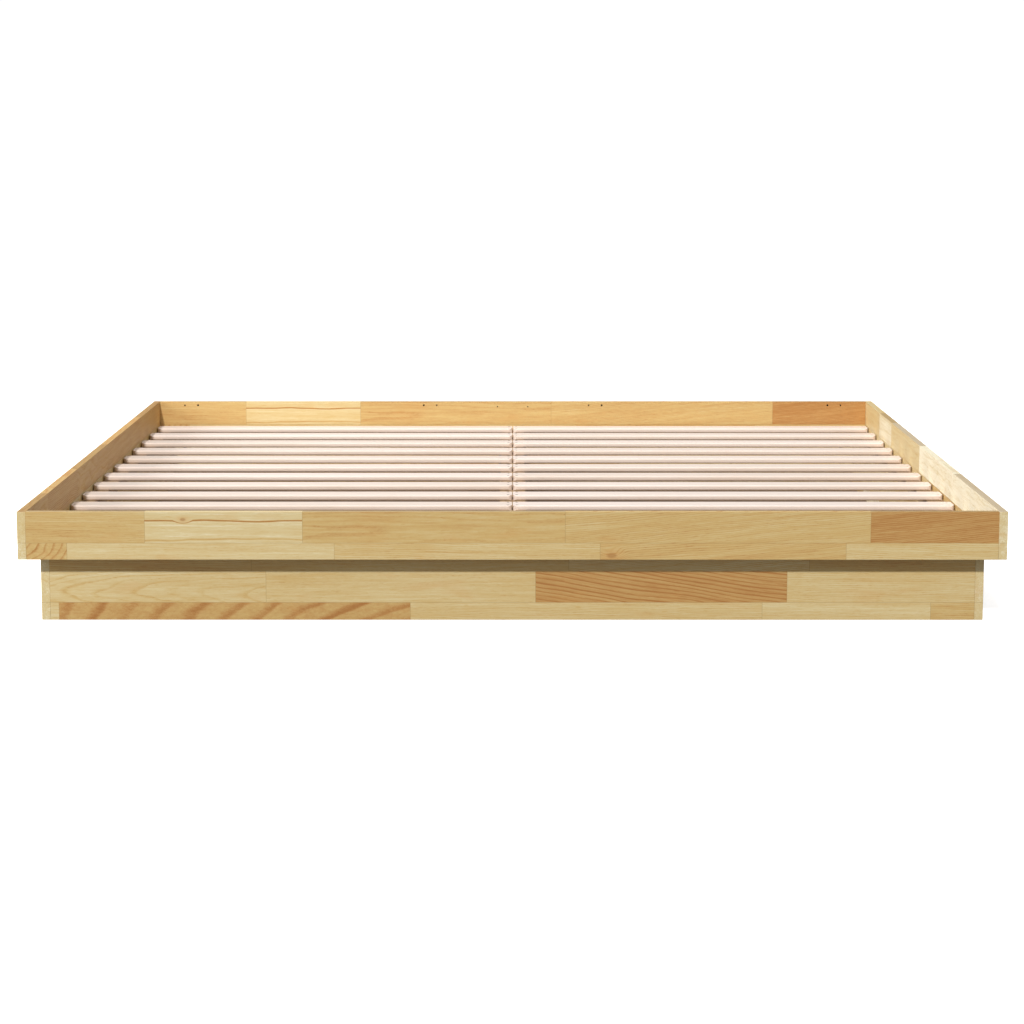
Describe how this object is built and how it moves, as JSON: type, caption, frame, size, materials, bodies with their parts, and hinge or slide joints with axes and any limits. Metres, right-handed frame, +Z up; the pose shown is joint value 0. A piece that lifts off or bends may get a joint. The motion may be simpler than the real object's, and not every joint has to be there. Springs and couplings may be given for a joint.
{
  "type": "platform bed frame",
  "caption": "Low square platform bed frame in glued oak staves on a recessed plinth, with a screwed two-column slatted base for a double mattress.",
  "frame": {"origin": "on the floor, under the middle of the bed", "axes": "+Z up, the foot of the bed faces -Y and its head +Y, +X to the right as seen from the foot"},
  "size_m": [2.04, 2.04, 0.234],
  "materials": {
    "oiled_oak": "clear matt oil on glued oak staves, edges eased",
    "support_pine": "planed and stained brown",
    "slat_birch": "sanded pale birch, bare, rounded edges",
    "bolt_steel": "zinc plated",
    "nut_steel": "zinc plated",
    "dowel_beech": "bare turned beech",
    "bracket_steel": "pressed and zinc plated",
    "screw_steel": "zinc plated"
  },
  "bodies": {
    "root": {"foot_board": "oiled_oak", "head_board": "oiled_oak", "left_side_rail": "oiled_oak", "right_side_rail": "oiled_oak", "left_ledger": "support_pine", "right_ledger": "support_pine", "foot_ledger_left": "support_pine", "foot_ledger_right": "support_pine", "head_ledger_left": "support_pine", "head_ledger_right": "support_pine", "centre_batten": "support_pine", "plinth_front": "oiled_oak", "plinth_back": "oiled_oak", "plinth_left": "oiled_oak", "plinth_right": "oiled_oak", "plinth_centre_board": "support_pine", "left_slat_01": "slat_birch", "left_slat_02": "slat_birch", "left_slat_03": "slat_birch", "left_slat_04": "slat_birch", "left_slat_05": "slat_birch", "left_slat_06": "slat_birch", "left_slat_07": "slat_birch", "left_slat_08": "slat_birch", "left_slat_09": "slat_birch", "left_slat_10": "slat_birch", "left_slat_11": "slat_birch", "left_slat_12": "slat_birch", "left_slat_13": "slat_birch", "right_slat_01": "slat_birch", "right_slat_02": "slat_birch", "right_slat_03": "slat_birch", "right_slat_04": "slat_birch", "right_slat_05": "slat_birch", "right_slat_06": "slat_birch", "right_slat_07": "slat_birch", "right_slat_08": "slat_birch", "right_slat_09": "slat_birch", "right_slat_10": "slat_birch", "right_slat_11": "slat_birch", "right_slat_12": "slat_birch", "right_slat_13": "slat_birch", "frame_bolts": "bolt_steel", "frame_barrel_nuts": "nut_steel", "frame_dowels": "dowel_beech", "plinth_bolts": "bolt_steel", "plinth_barrel_nuts": "nut_steel", "plinth_dowels": "dowel_beech", "centre_brackets": "bracket_steel", "bracket_screws": "screw_steel", "ledger_screws": "screw_steel", "plinth_screws": "screw_steel", "left_outer_slat_screws": "screw_steel", "left_inner_slat_screws": "screw_steel", "right_inner_slat_screws": "screw_steel", "right_outer_slat_screws": "screw_steel"}
  },
  "joints": []
}
